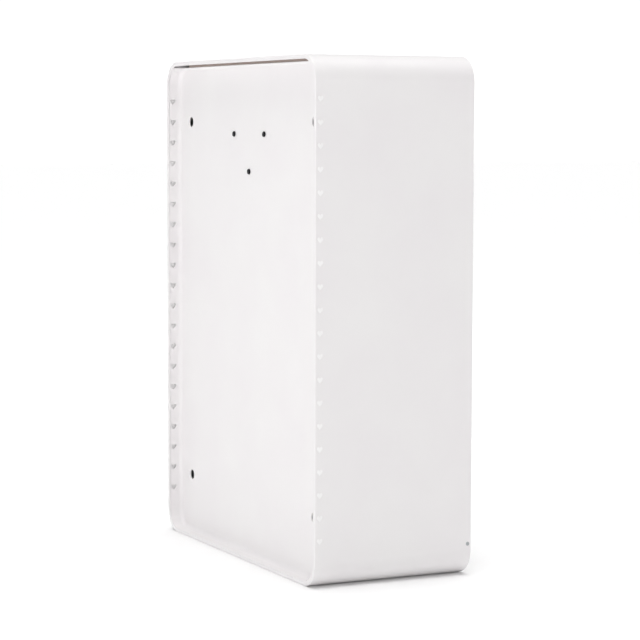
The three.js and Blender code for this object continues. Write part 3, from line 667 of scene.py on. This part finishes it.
def slot_mesh(name):
    """The strip that stands on the rear panel's top edge."""
    low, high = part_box("rear_panel")
    reach = high.x - CORNER_ALLOWANCE
    front = low.y + 0.8 * MM
    bottom, top = high.z + MESH_GAP, sleeve_high.z - SLEEVE_SHEET - MESH_GAP
    return block(name, (-reach, front, bottom), (reach, front + MESH, top))


def heart_discs():
    """A disc of the mesh in every heart of the skin, just under its face."""
    face = sleeve_high.x - DISC_INSET
    bottom, top = LOWEST_HEART - HEART_SIZE, LOWEST_HEART + (HEART_COUNT - 1) * HEART_PITCH + HEART_SIZE
    front, back = sleeve_high.y - 18 * MM, sleeve_high.y - MESH_BACK
    right = block("insect_mesh_discs", (face - MESH, front, bottom), (face, back, top))
    left = block("left_discs", (-face, front, bottom), (MESH - face, back, top))
    return modify(join(right, left), "BOOLEAN", operation="INTERSECT", object=punches, solver="EXACT")


heart_meshes = [heart_mesh("insect_mesh_left", -1), heart_mesh("insect_mesh_right", 1), heart_discs()]
# the strip in the top slot is dark bronze: its tone is painted shade in the slot
slot_shade_mesh = slot_mesh("insect_mesh_top_painted_shade")
meshes = [soften(strip, width=0.08 * MM) for strip in (*heart_meshes, slot_shade_mesh)]
print("insect mesh pieces:", len(meshes))

# %% [markdown]
# ## Busbars
#
# Cells in a module stand head to tail, so flat links join each post to the next one, alternately at the
# front and at the back. Each is an aluminium strip with a hump between the posts, which lets the cells
# swell and shrink without straining the welds. The strips lie in the carrier's channels.

# %% Busbars
BUSBAR_WIDTH, BUSBAR_SHEET = 18 * MM, 2 * MM
POST_REACH = 55 * MM  # from the middle of a cell to each post
CHANNEL_GAP = 0.4 * MM  # weld height between post and link
HUMP_HALF_TOP, HUMP_HALF_BASE, HUMP_HEIGHT = 3 * MM, 8 * MM, 1.5 * MM


def busbar(name, first, second):
    """A link over two neighbouring posts, with a hump halfway."""
    first_low, first_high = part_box(first)
    second_low, second_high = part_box(second)
    level = first_high.z + CHANNEL_GAP
    x1 = (first_low.x + first_high.x) / 2
    x2 = (second_low.x + second_high.x) / 2
    number = int(first.rsplit("_", 1)[1])
    y = -POST_REACH if number % 2 else POST_REACH
    overhang = BUSBAR_WIDTH / 2
    start = (x1 - overhang, y - overhang, level)
    strip = block(name, start, (x2 + overhang, y + overhang, level + BUSBAR_SHEET))
    middle = (x1 + x2) / 2
    for offset in (-HUMP_HALF_BASE, -HUMP_HALF_TOP, HUMP_HALF_TOP, HUMP_HALF_BASE):
        pick(strip, "FACE", lambda c, n: True)
        bpy.ops.mesh.bisect(plane_co=(middle + offset, 0, 0), plane_no=(1, 0, 0))
        done(strip)
    pick(strip, "FACE", lambda c, n: abs(n.z) > ALONG and abs(c.x - middle) < HUMP_HALF_TOP)
    bpy.ops.transform.translate(value=(0, 0, HUMP_HEIGHT))
    done(strip)
    return soften(strip, width=0.4 * MM, sharp=30)


busbars = []
for module in ("lower", "upper"):
    for number in range(1, 8):
        cells = (f"{module}_cell_{number}", f"{module}_cell_{number + 1}")
        busbars.append(busbar(f"{module}_busbar_{number}", *cells))
print("busbars:", len(busbars))

# %% [markdown]
# ## Riding
#
# Each finished piece is tied to the CAD body that it belongs to, and stands for its CAD node.

# %% Tie every piece to the frame
def stands_for(piece, node):
    piece.name = f"{node}_finished"
    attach(piece, BODY_OF[node])
    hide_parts(node)


bin_tools(punches)
finished = {
    "outer_sleeve": sleeve,
    "rear_panel": panel,
    "front_cover": cover,
    **button_screws,
    **cover_screws,
    **carried,
}
for node, piece in finished.items():
    stands_for(piece, node)
for strip in busbars + meshes:
    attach(strip, "cabinet")
print("tied to the frame:", len(finished) + len(busbars) + len(meshes), "pieces")

# %% [markdown]
# ## Finishes
#
# Colours are written as sRGB hex and turned to linear light in one place. One small function adds a shader
# node: plain values set its sockets, and another node's socket is linked.

# %% Shader helpers
def linear(hex_colour):
    """An sRGB hex colour as linear light."""
    channels = (int(hex_colour[i : i + 2], 16) / 255 for i in (1, 3, 5))
    return (*(c / 12.92 if c <= 0.04045 else ((c + 0.055) / 1.055) ** 2.4 for c in channels), 1)


def add(tree, kind, sockets=None, **settings):
    """Adds a shader node. A socket given for a socket is linked, and anything else is its value."""
    node = tree.nodes.new(f"ShaderNode{kind}")
    for key, value in settings.items():
        setattr(node, key, value)
    for key, value in (sockets or {}).items():
        if isinstance(value, bpy.types.NodeSocket):
            tree.links.new(value, node.inputs[key])
        else:
            node.inputs[key].default_value = value
    return node


def blank(name):
    """A material with only a Principled shader, and the piece's own coordinates in metres."""
    made = bpy.data.materials.new(name)
    made.use_nodes = True
    tree = made.node_tree
    tree.nodes.clear()
    out = add(tree, "OutputMaterial")
    shader = add(tree, "BsdfPrincipled")
    tree.links.new(shader.outputs[0], out.inputs[0])
    place = add(tree, "TexCoord").outputs["Object"]
    return made, tree, shader, place


def noise(tree, place, grain, detail=2.0):
    """Noise with blobs about one grain across, in metres."""
    return add(tree, "TexNoise", {"Vector": place, "Scale": 1 / grain, "Detail": detail}).outputs[0]


def tone(tree, shader, factor, dark, light, edges=(0.3, 0.7)):
    """Colour between two tones."""
    ramp = add(tree, "ValToRGB", {"Fac": factor})
    first, last = ramp.color_ramp.elements
    first.position, last.position = edges
    first.color, last.color = linear(dark), linear(light)
    tree.links.new(ramp.outputs[0], shader.inputs["Base Color"])


def gloss(tree, shader, factor, low, high):
    """Roughness between two values."""
    spread = add(tree, "MapRange", {"Value": factor, "To Min": low, "To Max": high})
    tree.links.new(spread.outputs[0], shader.inputs["Roughness"])


def relief(tree, shader, height, depth):
    """Bumps with a real depth in metres."""
    bump = add(tree, "Bump", {"Height": height, "Distance": depth, "Strength": 1})
    tree.links.new(bump.outputs[0], shader.inputs["Normal"])


def plain(name, dark, light, rough, grain, depth, metallic=0.0):
    """A finish that is one material all through: two close tones, uneven gloss and a fine relief."""
    made, tree, shader, place = blank(name)
    shader.inputs["Metallic"].default_value = metallic
    broad = noise(tree, place, grain * 12)
    tone(tree, shader, broad, dark, light)
    gloss(tree, shader, broad, *rough)
    relief(tree, shader, noise(tree, place, grain), depth)
    return made


print("shader helpers ready")

# %% [markdown]
# Powder coat flows into a fine orange peel as it cures, with waves about 2 mm apart and a few microns deep.
# Its white is a hair warm. Zinc plate shows large crystals, each of which mirrors a little differently, so
# its tone and gloss come from Voronoi cells.

# %% Finishes by name
def white_powder_coat():
    # satin white polyester powder coat on steel
    made, tree, shader, place = blank("white_powder_coat")
    tone(tree, shader, noise(tree, place, 90 * MM), "#ECE9EA", "#EEECEC")
    gloss(tree, shader, noise(tree, place, 14 * MM), 0.40, 0.48)
    relief(tree, shader, noise(tree, place, 1.6 * MM, 1.0), 0.012 * MM)
    return made


def zinc_steel():
    # hot-dip galvanised sheet with small spangle
    made, tree, shader, place = blank("galvanised_sheet")
    shader.inputs["Metallic"].default_value = 1
    warped = add(tree, "MixRGB", {0: 0.002, 1: place, 2: noise(tree, place, 8 * MM)}).outputs[0]
    cells = add(tree, "TexVoronoi", {"Vector": warped, "Scale": 1 / (7 * MM)})
    flake = add(tree, "SeparateColor", {0: cells.outputs["Color"]}).outputs[0]
    tone(tree, shader, flake, "#A9ADB0", "#C6C9CB", (0, 1))
    gloss(tree, shader, flake, 0.32, 0.5)
    relief(tree, shader, cells.outputs["Distance"], 0.01 * MM)
    return made


def circuit_board():
    # green solder mask over copper tracks
    made, tree, shader, place = blank("circuit_board")
    tracks = add(
        tree, "TexBrick",
        {"Vector": place, "Scale": 1 / (30 * MM), "Mortar Size": 0.012, "Color1": linear("#14532F"),
         "Color2": linear("#17603A"), "Mortar": linear("#2C8455")},
    )
    tree.links.new(tracks.outputs["Color"], shader.inputs["Base Color"])
    gloss(tree, shader, noise(tree, place, 3 * MM), 0.25, 0.4)
    relief(tree, shader, tracks.outputs["Fac"], 0.035 * MM)
    return made


def brushed(name, dark, light, rough):
    """Metal with grinding or rolling lines along X."""
    made, tree, shader, place = blank(name)
    shader.inputs["Metallic"].default_value = 1
    stretched = add(tree, "Mapping", {"Vector": place, "Scale": (0.04, 1, 1)}).outputs[0]
    lines = noise(tree, stretched, 0.5 * MM, 3.0)
    tone(tree, shader, lines, dark, light)
    gloss(tree, shader, lines, *rough)
    relief(tree, shader, lines, 0.006 * MM)
    return made


def woven_mesh(name, dark, light):
    """Fine insect mesh: two sets of wires 0.8 mm apart."""
    made, tree, shader, place = blank(name)
    weave = {"Vector": place, "Scale": 1 / (2.5 * MM)}
    up = add(tree, "TexWave", weave, bands_direction="Z").outputs["Fac"]
    along = add(tree, "TexWave", weave, bands_direction="Y").outputs["Fac"]
    wires = add(tree, "Math", {0: up, 1: along}, operation="MAXIMUM").outputs[0]
    tone(tree, shader, wires, dark, light)
    gloss(tree, shader, wires, 0.4, 0.6)
    relief(tree, shader, wires, 0.1 * MM)
    return made


# steel wire mesh, dipped white
white_mesh = woven_mesh("white_coated_mesh", "#F0EFEF", "#FDFCFC")
# bronze wire whose dark brownish tone is painted shade for the slot above the rear panel
bronze_mesh_painted_shade = woven_mesh("bronze_mesh_painted_shade", "#6E5F58", "#A6968D")
FINISHES = {
    "white_powder_coat": white_powder_coat(),
    "zinc_steel": zinc_steel(),
    # closed-cell foam rubber
    "gasket_foam": plain("foam_rubber", "#222326", "#2C2D31", (0.8, 0.95), 0.5 * MM, 0.15 * MM),
    # black oxide on steel, slightly oily
    "black_screws": plain("black_oxide", "#17171A", "#232327", (0.28, 0.42), 0.4 * MM, 0.01 * MM, 0.75),
    # zinc plate on a machined screw
    "zinc_screws": plain("zinc_plate", "#A2A5A8", "#BFC2C4", (0.25, 0.4), 0.3 * MM, 0.008 * MM, 1),
    # opal acrylic, matt in front
    "frosted_lens": plain("opal_acrylic", "#E4E8EA", "#EFF2F3", (0.35, 0.45), 0.4 * MM, 0.01 * MM),
    "circuit_board": circuit_board(),
    # glass-filled polyamide, fine spark-eroded texture
    "black_plastic": plain("black_polyamide", "#1B1C1E", "#242527", (0.5, 0.62), 0.35 * MM, 0.03 * MM),
    # satin moulded button cap and lens surround
    "white_plastic": plain("white_abs", "#ECEBE8", "#F2F1EE", (0.35, 0.45), 0.35 * MM, 0.015 * MM),
    # housings of breakers and terminals
    "grey_plastic": plain("grey_polycarbonate", "#9A9C9D", "#A6A8A9", (0.42, 0.52), 0.35 * MM, 0.02 * MM),
    # high-voltage orange polypropylene
    "orange_plastic": plain("orange_polypropylene", "#D9631A", "#E36F22", (0.42, 0.55), 0.4 * MM, 0.02 * MM),
    # mill finish
    "bare_aluminium": brushed("rolled_aluminium", "#BFC1C3", "#D3D4D6", (0.3, 0.45)),
    # blue polyester film, shrunk on
    "cell_wrap": plain("blue_film_wrap", "#1E4E8C", "#24589A", (0.22, 0.34), 2.5 * MM, 0.05 * MM),
    # glazed porcelain
    "fuse_ceramic": plain("porcelain", "#E9E4DA", "#F1EDE5", (0.15, 0.25), 1.5 * MM, 0.01 * MM),
    # lathe-turned and left bare
    "brass": brushed("turned_brass", "#B8923F", "#CBA653", (0.25, 0.38)),
    # silicone cable jackets
    "black_cable": plain("black_silicone", "#1A1A1C", "#222225", (0.5, 0.62), 0.8 * MM, 0.03 * MM),
    "red_cable": plain("red_silicone", "#A31A18", "#B5211E", (0.45, 0.58), 0.8 * MM, 0.03 * MM),
}


def wear(piece, finish):
    """Gives a piece one finish."""
    piece.data.materials.clear()
    piece.data.materials.append(FINISHES[finish])


for node, piece in finished.items():
    wear(piece, SLOT_OF[node])
    wear(frame["nodes"][node], SLOT_OF[node])
for strip in busbars:
    wear(strip, "bare_aluminium")
for strip in heart_meshes:
    strip.data.materials.append(white_mesh)
# the top strip's dark bronze tone is painted shade in the slot above the rear panel
slot_shade_mesh.data.materials.append(bronze_mesh_painted_shade)
print("finishes:", len(FINISHES))

# %% [markdown]
# The posts of a cell are bare aluminium above its blue wrap, so the faces above the can change finish. Two
# objects would do it too, but one keeps each cell in one piece.

# %% Second finishes on one piece
def repaint(piece, finish, rule):
    """Gives a second finish to the faces that pass the rule."""
    piece.data.materials.append(FINISHES[finish])
    last = len(piece.data.materials) - 1
    for face in piece.data.polygons:
        if rule(face.center):
            face.material_index = last


CELL_HEIGHT = 118 * MM
for node, piece in carried.items():
    if "_cell_" in node:
        can_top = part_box(node)[0].z + CELL_HEIGHT + 0.1 * MM
        repaint(piece, "bare_aluminium", lambda c: c.z > can_top)
print("cell posts repainted")

# %% [markdown]
# ## Floor and light
#
# The cabinet stands on a wide pale floor in an even, bright room. A big soft light behind the camera's
# shoulder makes the back a little brighter than the side, and lets the bends glow. The room is a little
# dimmer beyond the front left corner, which keeps the side from washing out.

# %% Floor and light
FLOOR_SIZE = 60
HORIZON = 1.08  # brightness of the room at eye level
CEILING = 0.22  # and overhead
DIM_END = 0.75  # brightness of the room beyond the front left corner, against the rest
FRONT_LEFT = (-0.7, -0.7, 0)
bpy.ops.mesh.primitive_plane_add(size=FLOOR_SIZE, location=(0, 0, 0))
floor = bpy.context.object
floor.name = "floor"
floor.data.materials.append(plain("pale_floor", "#FCFCFC", "#FEFEFE", (0.7, 0.8), 4 * MM, 0.02 * MM))

world = bpy.data.worlds.new("bright_room")
bpy.context.scene.world = world
world.use_nodes = True
sky = world.node_tree
room = sky.nodes["Background"]
room.inputs["Color"].default_value = linear("#FFFFFF")
direction = add(sky, "TexCoord").outputs["Generated"]
height = add(sky, "SeparateXYZ", {0: direction}).outputs["Z"]
by_height = add(
    sky, "MapRange",
    {"Value": height, "From Min": 0.08, "From Max": 0.3, "To Min": HORIZON, "To Max": CEILING},
).outputs[0]
ahead = add(sky, "VectorMath", {0: direction, 1: FRONT_LEFT}, operation="DOT_PRODUCT").outputs["Value"]
by_end = add(
    sky, "MapRange",
    {"Value": ahead, "From Min": 0.1, "From Max": 0.9, "To Min": 1, "To Max": DIM_END},
).outputs[0]
brightness = add(sky, "Math", {0: by_height, 1: by_end}, operation="MULTIPLY").outputs[0]
sky.links.new(brightness, room.inputs["Strength"])


def soft_light(name, place, size, power):
    """A square light aimed at the middle of the cabinet."""
    bpy.ops.object.light_add(type="AREA", location=place)
    light = bpy.context.object
    light.name = name
    light.data.size = size
    light.data.energy = power
    aim = Vector((0, 0, HEIGHT / 2)) - Vector(place)
    light.rotation_euler = aim.to_track_quat("-Z", "Y").to_euler()


soft_light("key", (-3.7, 4.3, 2.2), 4.0, 62)
soft_light("rear_card", (-0.7, 1.6, 0.1), 1.3, 4.2)
soft_light("front_fill", (2.6, -3.8, 2.4), 3.0, 22)
# a wide overhead glow lights the floor and softens the contact shadow
bpy.ops.object.light_add(type="SUN", location=(0, 0, 3))
overhead = bpy.context.object
overhead.name = "overhead"
overhead.data.angle = math.radians(50)
overhead.data.energy = 2.6
bpy.context.scene.view_settings.view_transform = "Standard"
